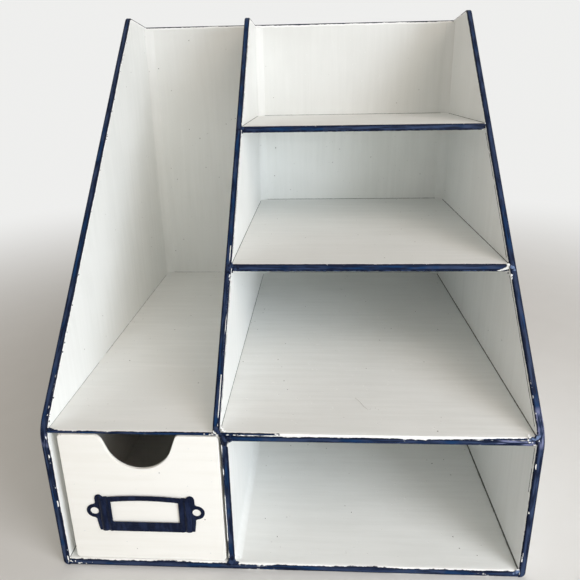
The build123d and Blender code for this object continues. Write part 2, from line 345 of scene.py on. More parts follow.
def navy_coat(paint, rim, seed):
    """Navy along an edge: dark at its borders, lighter and streaky along its middle as a painted
    highlight, blue in patches.
    """
    crown_edge, crown_top = 0.85, 0.25           # shares of half the board's thickness
    arris_place, arris_edge, arris_core = 0.70, 0.22, 0.06
    scraped_from, scraped_fully = 0.165, 0.110   # heights in metres
    streaks = paint.cloud(0.0014, stretch=rim.along, shift=(0, seed, seed), detail=4.0)
    patches = paint.cloud(0.022, shift=(seed, 0, seed), detail=2.0)
    worn_and_sheen = paint.blend(paint.fade(patches, 0.50, 0.62), NAVY_WORN_AND_SHEEN, NAVY_BLUE)
    axis, middle, half = rim.middle
    off_middle = paint.sum_of("ABSOLUTE", paint.past_plane(axis, middle))
    # painted highlight: lighter streaky navy along the middle of the rim, as on a rounded edge
    # catching the light
    crown_highlight = paint.fade(off_middle, crown_edge * half, crown_top * half)
    share = paint.sum_of("MULTIPLY", crown_highlight, paint.fade(streaks, 0.34, 0.60))
    colour = paint.blend(share, NAVY_PAINT, worn_and_sheen)
    # painted highlight: pale navy patches at the kinks and at the tray's end
    for place, reach in rim.rubbed:
        near = paint.fade(paint.away_from(place), reach, 0.5 * reach)
        bare = paint.sum_of("MULTIPLY", near, paint.fade(streaks, 0.43, 0.58))
        colour = paint.blend(bare, colour, NAVY_PAINTED_HIGHLIGHT)
    if rim.scraped:
        inner = paint.past_plane(tuple(rim.scraped * a for a in axis), middle)
        beside = paint.sum_of("SUBTRACT", inner, arris_place * half)
        arris = paint.fade(
            paint.sum_of("ABSOLUTE", beside), arris_edge * half, arris_core * half)
        scrapes = paint.cloud(0.0026, stretch=(1.0, 1.0, 0.40), shift=(seed, 0, 0), detail=2.0)
        height = paint.past_plane((0, 0, 1), (0, 0, 0))
        knee_high = paint.fade(height, scraped_from, scraped_fully)
        worn_spots = paint.sum_of("MULTIPLY", knee_high, paint.fade(scrapes, 0.600, 0.625))
        bare = paint.sum_of("MULTIPLY", arris, worn_spots)
        colour = paint.blend(bare, colour, WHITE_THICK)
    return colour, streaks


def ragged_edge(paint, seed, slow, quick):
    """An uneven offset in metres for the edge of a hand-laid coat."""
    long_waves = paint.cloud(0.030, shift=(0, 0, seed), detail=1.0)
    short_waves = paint.cloud(0.0035, shift=(seed, 0, 0), detail=3.0)
    return paint.sum_of(
        "ADD",
        paint.sum_of("MULTIPLY", paint.sum_of("SUBTRACT", long_waves, 0.5), slow),
        paint.sum_of("MULTIPLY", paint.sum_of("SUBTRACT", short_waves, 0.5), quick),
    )


def board_paint(name, seed, rim=None, whites=BOARD_WHITE, strokes_run=LEVEL_STROKES,
                shaded_top=False):
    """White board, with navy on its edge and a thick white fringe where the two coats meet."""
    slow_waves, quick_waves = 0.0018, 0.0014     # how far the navy's border strays
    border_blur = 0.00012
    fringe_end, fringe_start = 0.0024, 0.0008    # past the navy's border
    coat_height, streak_height = 0.8, 0.5
    paint = Paint(name)
    colour, height = white_coat(paint, seed, whites, strokes_run)
    # painted shade: the white grows greyer towards the top
    if shaded_top:
        colour = shade_towards_top(paint, colour)
    rough = WHITE_ROUGH
    if rim:
        uneven = ragged_edge(paint, seed, slow_waves, quick_waves)
        distance = paint.sum_of("ADD", rim.distance(paint), uneven)
        navy = paint.fade(distance, rim.reach + border_blur, rim.reach - border_blur)
        fringe = paint.fade(distance, rim.reach + fringe_end, rim.reach + fringe_start)
        dark, streaks = navy_coat(paint, rim, seed)
        colour = paint.blend(fringe, colour, WHITE_THICK)
        colour = paint.blend(navy, colour, dark)
        rough = paint.put("ShaderNodeMix", {0: navy, 2: rough, 3: NAVY_ROUGH})
        coat = paint.sum_of(
            "ADD", paint.sum_of("MULTIPLY", streaks, streak_height), coat_height)
        height = paint.put("ShaderNodeMix", {0: navy, 2: height, 3: coat})
    return paint.finish(colour, rough, height, BRUSHED_DEPTH)


def seam_paint(name, colour):
    """Grainy paint of one colour, for the painted shade in the seams, and for grains and fillers.
    """
    shade = 0.75
    paint = Paint(name)
    grain = paint.cloud(0.004, detail=4.0)
    shaded = paint.blend(grain, colour, tuple(shade * c for c in colour[:3]) + (1.0,))
    return paint.finish(shaded, SEAM_ROUGH, grain, SEAM_DEPTH)


def thick_navy(name, worn_and_sheen, stretch=(1, 1, 1), bare=0.52):
    """Navy that stands up where it was dabbed on or laid over metal."""
    paint = Paint(name)
    streaks = paint.cloud(0.003, stretch=stretch, detail=4.0)
    lumps = paint.cloud(0.0015, detail=3.0)
    # lighter streaks: worn paint, and in part a painted sheen on the dabs
    colour = paint.blend(paint.fade(streaks, bare - 0.08, bare + 0.14), NAVY_PAINT, worn_and_sheen)
    return paint.finish(colour, DABBED_ROUGH, lumps, DABBED_DEPTH)


def paint_nodes():
    """Give every CAD piece its paint."""
    # painted highlights: pale patches on the rims at the side panels' kinks and at the tray's end
    right_kink_highlights = (
        (Vector((0.1716, FRONT + 0.0012, 0.1205)), 0.0100),
        (Vector((0.1710, FRONT + 0.0070, 0.1340)), 0.0080),
    )
    left_kink_highlights = ((Vector((-0.1682, FRONT + 0.0003, 0.1120)), 0.0065),)
    tray_end_highlights = (
        (Vector((0.1500, DECK_FRONT, TRAY_ROOF + 0.0012)), 0.010),
        (Vector((0.1610, DECK_FRONT, TRAY_ROOF + 0.0022)), 0.006),
    )
    rims = {
        "left_side_panel": side_rim("left_side_panel", TIP_HEIGHT, left_kink_highlights, 1.0),
        "right_side_panel": side_rim("right_side_panel", TIP_HEIGHT, right_kink_highlights, -1.0),
        "upper_divider": side_rim("upper_divider", DIVIDER_TIP_HEIGHT),
        "lower_divider": straight_rim("lower_divider"),
        "back_panel": back_rim(),
        "base_panel": rim_below("base_panel", BASE_TOP - 0.0010),
        "deck_sheet": deck_rim(),
        "tray_top_board": rim_below("tray_top_board", high("tray_top_board").z - 0.0002, tray_end_highlights),
        "middle_shelf": straight_rim("middle_shelf"),
        "upper_shelf": straight_rim("upper_shelf"),
    }
    upright = ("left_side_panel", "right_side_panel", "upper_divider", "lower_divider",
               "back_panel")
    deck_place = list(nodes).index("deck_sheet")     # the deck's two boards share one edge
    strip_seed, drawer_seed = 53.3, 59.9
    first_seed, seed_step = 3.1, 4.6
    strip = board_paint("strip_paint", strip_seed, strokes_run=UPRIGHT_STROKES, shaded_top=True)
    # the drawer's cream is lighter than the boards' white as painted light
    drawer = board_paint("drawer_paint", drawer_seed, whites=DRAWER_CREAM_AND_LIGHT)
    for count, (name, node) in enumerate(nodes.items()):
        if name in rims:
            run = UPRIGHT_STROKES if name in upright else LEVEL_STROKES
            place = deck_place if name == "tray_top_board" else count
            seed = first_seed + seed_step * place
            material = board_paint(name + "_paint", seed, rims[name], strokes_run=run,
                                   shaded_top=name == "back_panel")
        elif name == "label_holder":
            material = holder_navy
        elif name.startswith("drawer"):
            material = drawer
        else:
            material = strip
        for slot in node.material_slots:
            slot.material = material


# ---- raised detail: beads, flecks, nibs and smears ----
class Recipe(NodeSheet):
    """A Geometry Nodes tree whose inputs are named when it is made."""

    def __init__(self, name, **inputs):
        super().__init__(bpy.data.node_groups.new(name, "GeometryNodeTree"))
        face = self.tree.interface
        face.new_socket("Geometry", in_out="INPUT", socket_type="NodeSocketGeometry")
        for label, kind in inputs.items():
            face.new_socket(label, in_out="INPUT", socket_type="NodeSocket" + kind)
        face.new_socket("Geometry", in_out="OUTPUT", socket_type="NodeSocketGeometry")
        self.given = self.tree.nodes.new("NodeGroupInput")

    def of(self, label):
        """One of the inputs that the recipe was made with."""
        return self.given.outputs[label]

    def noise(self, scale, detail=3.0, out=0):
        """Noise in space that changes with the seed; out 0 is a number, 1 a colour."""
        place = self.put("GeometryNodeInputPosition")
        return self.put(
            "ShaderNodeTexNoise",
            {"Vector": place, "W": self.of("Seed"), "Scale": scale, "Detail": detail},
            out=out, noise_dimensions="4D",
        )

    def around_zero(self, colour, reach):
        """A colour from 0 to 1 turned into a shift of up to half of reach each way."""
        middle = self.put("ShaderNodeVectorMath", {0: colour, 1: (0.5, 0.5, 0.5)},
                          operation="SUBTRACT")
        return self.put("ShaderNodeVectorMath", {0: middle, "Scale": reach}, operation="SCALE")

    def random_vector(self, low, high, offset):
        seed = self.sum_of("ADD", self.of("Seed"), offset)
        return self.put("FunctionNodeRandomValue", {0: low, 1: high, "Seed": seed},
                        data_type="FLOAT_VECTOR")

    def close(self, geometry):
        """End the recipe: real meshes with the given material."""
        whole = self.put("GeometryNodeRealizeInstances", {"Geometry": geometry})
        painted = self.put("GeometryNodeSetMaterial",
                           {"Geometry": whole, "Material": self.of("Material")})
        self.put("NodeGroupOutput", {"Geometry": painted})
        return self.tree


def bead_recipe():
    """Sweeps an uneven bead along a path, with breaks where it thins to a hair."""
    sheet = Recipe("bead_along_path", Radius="Float", Uneven="Float", Breaks="Float",
                   Wander="Float", Seed="Float", Material="Material")
    step = 0.0012
    wander_scale, lump_scale, break_scale = 170.0, 420.0, 55.0
    break_ease = 0.06
    hair = 0.04                                  # share of the radius left in a break
    ring_sides = 7
    path = sheet.put("GeometryNodeMeshToCurve", {"Mesh": sheet.of("Geometry")})
    fine = sheet.put("GeometryNodeResampleCurve", {"Curve": path, "Length": step},
                     mode="LENGTH")
    shift = sheet.around_zero(sheet.noise(wander_scale, out=1), sheet.of("Wander"))
    strayed = sheet.put("GeometryNodeSetPosition", {"Geometry": fine, "Offset": shift})
    lumps = sheet.sum_of("SUBTRACT", sheet.noise(lump_scale), 0.5)
    swell = sheet.sum_of("MULTIPLY_ADD", lumps, sheet.of("Uneven"), 1.0)
    waves = sheet.noise(break_scale, detail=4.0)
    after = sheet.sum_of("ADD", sheet.of("Breaks"), break_ease)
    kept = sheet.fade(waves, sheet.of("Breaks"), after)
    thick = sheet.sum_of("MAXIMUM", sheet.sum_of("MULTIPLY", swell, kept), hair)
    radius = sheet.sum_of("MULTIPLY", thick, sheet.of("Radius"))
    ring = sheet.put(
        "GeometryNodeCurvePrimitiveCircle", {"Resolution": ring_sides, "Radius": 1.0})
    swept = sheet.put(
        "GeometryNodeCurveToMesh",
        {"Curve": strayed, "Profile Curve": ring, "Scale": radius, "Fill Caps": True},
    )
    return sheet.close(swept)


def chip(sheet):
    """One lumpy grain, about 1 unit in radius, with few faces."""
    lump_scale, lumpiness = 1.1, 1.1
    ball = sheet.put("GeometryNodeMeshIcoSphere", {"Radius": 1.0, "Subdivisions": 2})
    shift = sheet.around_zero(sheet.noise(lump_scale, out=1), lumpiness)
    return sheet.put("GeometryNodeSetPosition", {"Geometry": ball, "Offset": shift})


def fleck_recipe():
    """Drops chips of paint beside a path, a share of all the places along it."""
    sheet = Recipe("flecks_beside_path", Share="Float", Spread="Vector", Small="Vector",
                   Large="Vector", Seed="Float", Material="Material")
    spacing = 0.0011
    path = sheet.put("GeometryNodeMeshToCurve", {"Mesh": sheet.of("Geometry")})
    places = sheet.put("GeometryNodeCurveToPoints", {"Curve": path, "Length": spacing},
                       mode="LENGTH")
    lots = sheet.put("FunctionNodeRandomValue", {2: 0.0, 3: 1.0, "Seed": sheet.of("Seed")},
                     out=1, data_type="FLOAT")
    missed = sheet.put("FunctionNodeCompare", {0: lots, 1: sheet.of("Share")},
                       operation="GREATER_THAN", data_type="FLOAT")
    points = sheet.put("GeometryNodeDeleteGeometry", {"Geometry": places, "Selection": missed})
    back = sheet.put("ShaderNodeVectorMath", {0: sheet.of("Spread"), "Scale": -1.0},
                     operation="SCALE")
    shift = sheet.random_vector(back, sheet.of("Spread"), 3.0)
    spread = sheet.put("GeometryNodeSetPosition", {"Geometry": points, "Offset": shift})
    size = sheet.random_vector(sheet.of("Small"), sheet.of("Large"), 9.0)
    laid = sheet.put("GeometryNodeInstanceOnPoints",
                     {"Points": spread, "Instance": chip(sheet), "Scale": size})
    return sheet.close(laid)


def nib_recipe():
    """Scatters grains caught in the paint over flat faces."""
    sheet = Recipe("nibs_over_faces", Density="Float", Small="Vector", Large="Vector",
                   Seed="Float", Material="Material")
    scattered = sheet.put("GeometryNodeDistributePointsOnFaces",
                          {"Mesh": sheet.of("Geometry"), "Density": sheet.of("Density"),
                           "Seed": sheet.of("Seed")})
    scatter = scattered.node
    size = sheet.random_vector(sheet.of("Small"), sheet.of("Large"), 5.0)
    laid = sheet.put("GeometryNodeInstanceOnPoints",
                     {"Points": scattered, "Instance": chip(sheet),
                      "Rotation": scatter.outputs["Rotation"], "Scale": size})
    return sheet.close(laid)


def mesh_object(name, points, edges, faces):
    """A new object with a mesh of these points, edges and faces."""
    mesh = bpy.data.meshes.new(name)
    mesh.from_pydata([tuple(point) for point in points], edges, faces)
    mesh.update()
    obj = bpy.data.objects.new(name, mesh)
    bpy.context.scene.collection.objects.link(obj)
    return obj


def keep_evaluated(name, source):
    """Turn an object with its modifiers into a plain mesh piece."""
    ready = source.evaluated_get(bpy.context.evaluated_depsgraph_get())
    mesh = bpy.data.meshes.new_from_object(ready)
    mesh.name = name
    scratch = source.data
    bpy.data.objects.remove(source)
    bpy.data.meshes.remove(scratch)
    piece = bpy.data.objects.new(name, mesh)
    bpy.context.scene.collection.objects.link(piece)
    return piece


def melted(name, work, grain):
    """Shapes melted into one closed skin, whose faces are about grain metres wide."""
    obj = mesh_object(name + "_blank", [], [], [])
    work.to_mesh(obj.data)
    work.free()
    melt = obj.modifiers.new("melt", "REMESH")
    melt.mode = "VOXEL"
    melt.voxel_size = grain
    return keep_evaluated(name, obj)


def settle(piece, material, body):
    """Paint and shade a finished piece, and let it ride on its body."""
    piece.data.materials.clear()
    piece.data.materials.append(material)
    for polygon in piece.data.polygons:
        polygon.material_index = 0
        polygon.use_smooth = True
    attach(piece, body)


def grown(name, recipe, base, body, slot, **values):
    """Run a recipe over a base once and keep the result."""
    modifier = base.modifiers.new(name, "NODES")
    modifier.node_group = recipe
    for item in recipe.interface.items_tree:
        if item.in_out == "INPUT" and item.name in values:
            modifier[item.identifier] = values[item.name]
    settle(keep_evaluated(name, base), values["Material"], body)


def path_object(paths):
    """One object of loose edges, a chain of them per path."""
    points, edges = [], []
    for path in paths:
        first = len(points)
        points += path
        edges += [(first + i, first + i + 1) for i in range(len(path) - 1)]
    return mesh_object("paths", points, edges, [])


def patch_object(patches):
    """One object of flat four-sided patches: a corner and the two sides from it."""
    points, faces = [], []
    for corner, first_side, second_side in patches:
        start = len(points)
        a, b, c = Vector(corner), Vector(first_side), Vector(second_side)
        points += [a, a + b, a + b + c, a + c]
        faces.append((start, start + 1, start + 2, start + 3))
    return mesh_object("patches", points, [], faces)


def smear(name, blobs, material, body, seed):
    """Paint laid on thick: flattened drops melted together. A drop is a place and its radii."""
    melt_grain = 0.00022
    ripple_scale, ripple_height = 420.0, 0.00014
    work = bmesh.new()
    for place, radii in blobs:
        turn = Matrix.Translation(place) @ Matrix.Diagonal((*radii, 1.0))
        bmesh.ops.create_icosphere(work, subdivisions=2, radius=1.0, matrix=turn)
    piece = melted(name, work, melt_grain)
    for vertex in piece.data.vertices:
        where = vertex.co * ripple_scale + Vector((seed, 0, 0))
        vertex.co += vertex.normal * ripple_height * noise.noise(where)
    settle(piece, material, body)


def pressed_label_holder(material):
    """The label holder with its pressed relief: ribs beside the window and a rolled rim."""
    melt_grain = 0.00028
    weld = 0.00001
    window_side, frame_side = 24.9, 34.0         # out from the middle, in millimetres
    inner_rib, inner_rib_half = 26.4, 2.2
    outer_rib, outer_rib_half = 31.3, 2.4
    bar_rise, rib_rise, ear_rise = 0.75, 0.9, 0.25       # shares of the whole relief
    relief = 1.1 * MM
    work = bmesh.new()
    work.from_mesh(nodes["label_holder"].data)
    bmesh.ops.remove_doubles(work, verts=work.verts, dist=weld)
    piece = melted("pressed_label_holder", work, melt_grain)
    middle = (low("label_holder").x + high("label_holder").x) / 2
    face = low("label_holder").y
    thickness = high("label_holder").y - face

    def hump(value, centre, half_width):
        return max(0.0, 1.0 - ((value - centre) / half_width) ** 2)

    for vertex in piece.data.vertices:
        out = abs(vertex.co.x - middle) / MM
        if out < window_side:
            rise = bar_rise
        elif out < frame_side:
            narrow = rib_rise * hump(out, inner_rib, inner_rib_half)
            wide = hump(out, outer_rib, outer_rib_half) ** 0.7
            rise = max(narrow, wide, ear_rise)
        else:
            rise = ear_rise
        uneven = 0.10 * noise.noise(vertex.co * 260.0) + 0.05 * noise.noise(vertex.co * 900.0)
        front_share = max(0.0, 1.0 - (vertex.co.y - face) / thickness)
        vertex.co.y += front_share * (1.0 - min(1.0, rise + uneven)) * relief
    settle(piece, material, "drawer")
    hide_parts("label_holder")


# ---- where things run ----
def rim_y(height, inset):
    """Where a side panel's face is inset metres behind its kinked front edge."""
    def depth(y):
        upright = y - FRONT
        leaning = LEAN_NORMAL[1] * (y - FRONT) + LEAN_NORMAL[2] * (height - KINK_HEIGHT)
        overlap = max(KINK_BLEND - abs(upright - leaning), 0.0) / KINK_BLEND
        return min(upright, leaning) - overlap ** 3 * KINK_BLEND / 6.0

    halvings = 30
    near, far = FRONT, -FRONT
    for _ in range(halvings):
        middle = (near + far) / 2
        if depth(middle) < inset:
            near = middle
        else:
            far = middle
    return near


def along_rim(x, inset, bottom, top):
    """A path up the front edge of a side panel or the divider."""
    step = 0.006
    count = max(2, round((top - bottom) / step))
    heights = [bottom + (top - bottom) * i / count for i in range(count + 1)]
    return [Vector((x, rim_y(z, inset), z)) for z in heights]


def straight(start, end):
    """A path of two points."""
    return [Vector(start), Vector(end)]


def corner_lines():
    """Painted shade as dark lines in the seams where boards meet, in the gaps and beside the
    liners' edges, and streaks that run along a rim: radius in mm, breaks 0 to 1.
    """
    recipe = bead_recipe()
    front_gap = 0.002

    def depthwise(x, z, front):
        return straight((x, BACK_INNER, z), (x, front + front_gap, z))

    def up_the_bays(x, inset):
        """Up a rim, with gaps where the shelves meet it."""
        gap = 0.003
        bays = ((0.124, MIDDLE_TOP - SHELF - gap), (MIDDLE_TOP + gap, UPPER_TOP - SHELF - gap),
                (UPPER_TOP + gap, 0.396))
        return [along_rim(x, inset, foot, top) for foot, top in bays]

    def widthwise(left, right, z):
        return straight((left, BACK_INNER, z), (right, BACK_INNER, z))

    floors = ((DECK_TOP, FRONT), (MIDDLE_TOP, MIDDLE_FRONT), (UPPER_TOP, UPPER_FRONT))
    shelf_feet = ((MIDDLE_FRONT, MIDDLE_TOP - SHELF), (UPPER_FRONT, UPPER_TOP - SHELF + 0.2 * MM))
    hair_crack = [Vector((x * MM, y * MM, DECK_TOP)) for x, y in (
        (49.5, -118.0), (52.7, -123.4), (55.3, -129.4), (58.0, -133.2), (60.3, -132.0))]
    lines = {
        "tray_right_seam": ([depthwise(RIGHT_INNER, BASE_TOP, FRONT)], 0.95, 0.0, seam_shade),
        "deck_right_seam": ([depthwise(RIGHT_INNER, DECK_TOP, FRONT)], 0.55, 0.0, seam_shade),
        "middle_right_seam": (
            [depthwise(RIGHT_INNER, MIDDLE_TOP, MIDDLE_FRONT)], 0.42, 0.0, seam_shade),
        "upper_right_seam": (
            [depthwise(RIGHT_INNER, UPPER_TOP, UPPER_FRONT)], 0.32, 0.2, seam_shade),
        "left_seams": (
            [depthwise(DIVIDER_RIGHT, z, front) for z, front in floors],
            0.34, 0.10, seam_shade),
        "rear_seams": (
            [widthwise(DIVIDER_RIGHT, RIGHT_INNER, z) for z, _ in floors]
            + [widthwise(TRAY_LEFT, RIGHT_INNER, BASE_TOP)], 0.38, 0.1, seam_shade),
        "file_bay_seams": (
            [depthwise(LEFT_INNER, DECK_TOP, FRONT), depthwise(DIVIDER_LEFT, DECK_TOP, FRONT),
             widthwise(LEFT_INNER, DIVIDER_LEFT, DECK_TOP)], 0.24, 0.36, faint_seam_shade),
        "deck_hair_crack": ([hair_crack], 0.13, 0.35, faint_seam_shade),
        "drawer_bay_seam": ([straight((LEFT_INNER, 0.05, BASE_TOP),
                                      (LEFT_INNER, FRONT + front_gap, BASE_TOP))], 0.42, 0.0,
                            seam_shade),
        "shelf_drip_beads": (
            [straight((DIVIDER_RIGHT, front + 0.5 * MM, z), (RIGHT_INNER, front + 0.5 * MM, z))
             for front, z in shelf_feet], 0.75, 0.0, dabbed_navy),
        "right_panel_dark_line": (
            [along_rim(RIGHT_INNER, 3.7 * MM, 0.074, 0.110)]
            + up_the_bays(RIGHT_INNER, 3.7 * MM)[:2], 0.26, 0.34, seam_shade),
        "right_panel_white_line": (
            [along_rim(RIGHT_INNER, 2.1 * MM, 0.040, 0.110)]
            + up_the_bays(RIGHT_INNER, 2.1 * MM)[:2], 0.40, 0.38, filler_white),
        "divider_dark_line": (
            up_the_bays(DIVIDER_RIGHT, 3.0 * MM), 0.20, 0.40, seam_shade),
        "divider_white_fringe": (
            up_the_bays(DIVIDER_RIGHT, 1.8 * MM), 0.32, 0.44, filler_white),
        "divider_worn_streaks": (
            [along_rim(DIVIDER_LEFT + 3.6 * MM, 0.0, 0.124, 0.150),
             along_rim(DIVIDER_RIGHT - 1.6 * MM, 0.0, MIDDLE_TOP + 0.0005, MIDDLE_TOP + 0.012)],
            0.32, 0.36, filler_white),
        "divider_lower_flecks": (
            [along_rim(DIVIDER_RIGHT - 0.9 * MM, 0.0, 0.160, MIDDLE_TOP - 0.009)], 0.24, 0.52,
            filler_white),
        "lower_divider_scrape": (
            [[Vector((LOWER_LEFT + 0.8 * MM, DECK_FRONT, z * MM)) for z in range(8, 112, 6)]],
            0.34, 0.42, filler_white),
    }
    for count, (name, (paths, radius, breaks, material)) in enumerate(lines.items()):
        grown(name, recipe, path_object(paths), "case", "white_board_navy_rims",
              Radius=radius * MM, Uneven=1.0, Breaks=breaks, Wander=0.0005,
              Seed=3.0 + 7.0 * count, Material=material)


def paint_chips():
    """White chips beside the navy rims and in them, and navy spatter on the white."""
    recipe = fleck_recipe()
    shelf_paths = [
        straight((DIVIDER_RIGHT + 0.002, front + 0.0012, top),
                 (RIGHT_INNER - 0.002, front + 0.0012, top))
        for front, top in ((MIDDLE_FRONT, MIDDLE_TOP), (UPPER_FRONT, UPPER_TOP))
    ]
    rows = {
        "divider_chips": ([along_rim(DIVIDER_RIGHT, 0.0014, 0.124, 0.39)], 0.12, filler_white),
        "right_panel_chips": (
            [along_rim(RIGHT_INNER, 0.0022, 0.01, 0.39)], 0.06, filler_white),
        "left_panel_spatter": ([along_rim(LEFT_INNER, 0.0020, 0.124, 0.39)], 0.06, dabbed_navy),
        "shelf_chips": (shelf_paths, 0.09, filler_white),
        "deck_navy_spatter": (
            [straight((DIVIDER_RIGHT + 0.003, DECK_FRONT, DECK_TOP - 0.0015),
                      (DIVIDER_RIGHT + 0.030, DECK_FRONT, DECK_TOP - 0.0015))], 0.26,
            dabbed_navy),
    }
    for count, (name, (paths, share, material)) in enumerate(rows.items()):
        grown(name, recipe, path_object(paths), "case", "white_board_navy_rims",
              Share=share, Spread=(0.0002, 0.0007, 0.0005), Small=(0.0001, 0.0002, 0.0002),
              Large=(0.00035, 0.0010, 0.0009), Seed=5.0 + 11.0 * count, Material=material)


def paint_nibs():
    """Grains and dust under the paint, on the faces that the eye falls on."""
    recipe = nib_recipe()
    white = seam_paint("nib_paint", BOARD_WHITE[0])
    dusty = seam_paint("dust_paint", SPECK_DARK)
    bay = RIGHT_INNER - DIVIDER_RIGHT
    file_bay = DIVIDER_LEFT - LEFT_INNER
    depth = BACK_INNER - FRONT - 0.01
    floors = [
        ((DIVIDER_RIGHT, FRONT + 0.006, DECK_TOP), (bay, 0, 0), (0, depth, 0)),
        ((LEFT_INNER, FRONT + 0.006, DECK_TOP), (file_bay, 0, 0), (0, depth, 0)),
        ((TRAY_LEFT, FRONT + 0.006, BASE_TOP), (RIGHT_INNER - TRAY_LEFT, 0, 0), (0, depth, 0)),
        ((DIVIDER_RIGHT, MIDDLE_FRONT + 0.004, MIDDLE_TOP), (bay, 0, 0),
         (0, BACK_INNER - MIDDLE_FRONT - 0.008, 0)),
        ((LEFT_INNER, 0.02, 0.14), (0, 0.13, 0), (0, 0, 0.15)),
        ((RIGHT_INNER, 0.02, 0.14), (0, 0, 0.15), (0, 0.13, 0)),
        ((DIVIDER_RIGHT, BACK_INNER, DECK_TOP), (bay, 0, 0), (0, 0, 0.28)),
        ((LEFT_INNER, BACK_INNER, DECK_TOP), (file_bay, 0, 0), (0, 0, 0.28)),
    ]
    face_low, face_high = low("drawer_front"), high("drawer_front")
    inset = 0.005
    notch_foot = face_high.z - 0.032
    beside_notch = 0.026
    drawer_face = [
        (face_low + Vector((inset, 0, inset)),
         (face_high.x - face_low.x - 2 * inset, 0, 0), (0, 0, notch_foot - face_low.z - inset)),
    ] + [
        ((x, face_low.y, notch_foot), (beside_notch - inset, 0, 0), (0, 0, 0.024))
        for x in (face_low.x + inset, face_high.x - beside_notch)
    ]
    kinds = {
        "white_nibs": (floors, "case", 2400.0, white, (0.0003, 0.0003, 0.00008),
                       (0.0007, 0.0007, 0.0002)),
        "dust_specks": (floors, "case", 260.0, dusty, (0.00025, 0.00025, 0.00005),
                        (0.00055, 0.00055, 0.0001)),
        "drawer_nibs": (drawer_face, "drawer", 2600.0, white, (0.00025, 0.00025, 0.00006),
                        (0.0005, 0.0005, 0.00014)),
    }
    for count, (name, (patches, body, density, material, small, large)) in enumerate(
            kinds.items()):
        slot = "white_drawer_board" if body == "drawer" else "white_board_navy_rims"
        grown(name, recipe, patch_object(patches), body, slot, Density=density,
              Small=small, Large=large, Seed=2.0 + 13.0 * count, Material=material)


def drops(x, y, z, spots, thick=0.7):
    """Drops on a flat front: right, up, and their half sizes across and up, in millimetres."""
    return [
        (Vector((x + right * MM, y + 0.2 * MM, z + rise * MM)),
         (across * MM, thick * MM, tall * MM))
        for right, rise, across, tall in spots
    ]


def rim_drops(x, z, spots, thick=0.7):
    """The same on the leaning front edge of an upright board."""
    placed = []
    for right, rise, across, tall in spots:
        height = z + rise * MM
        placed.append((Vector((x + right * MM, rim_y(height, 0.0), height)),
                       (across * MM, thick * MM, tall * MM)))
    return placed


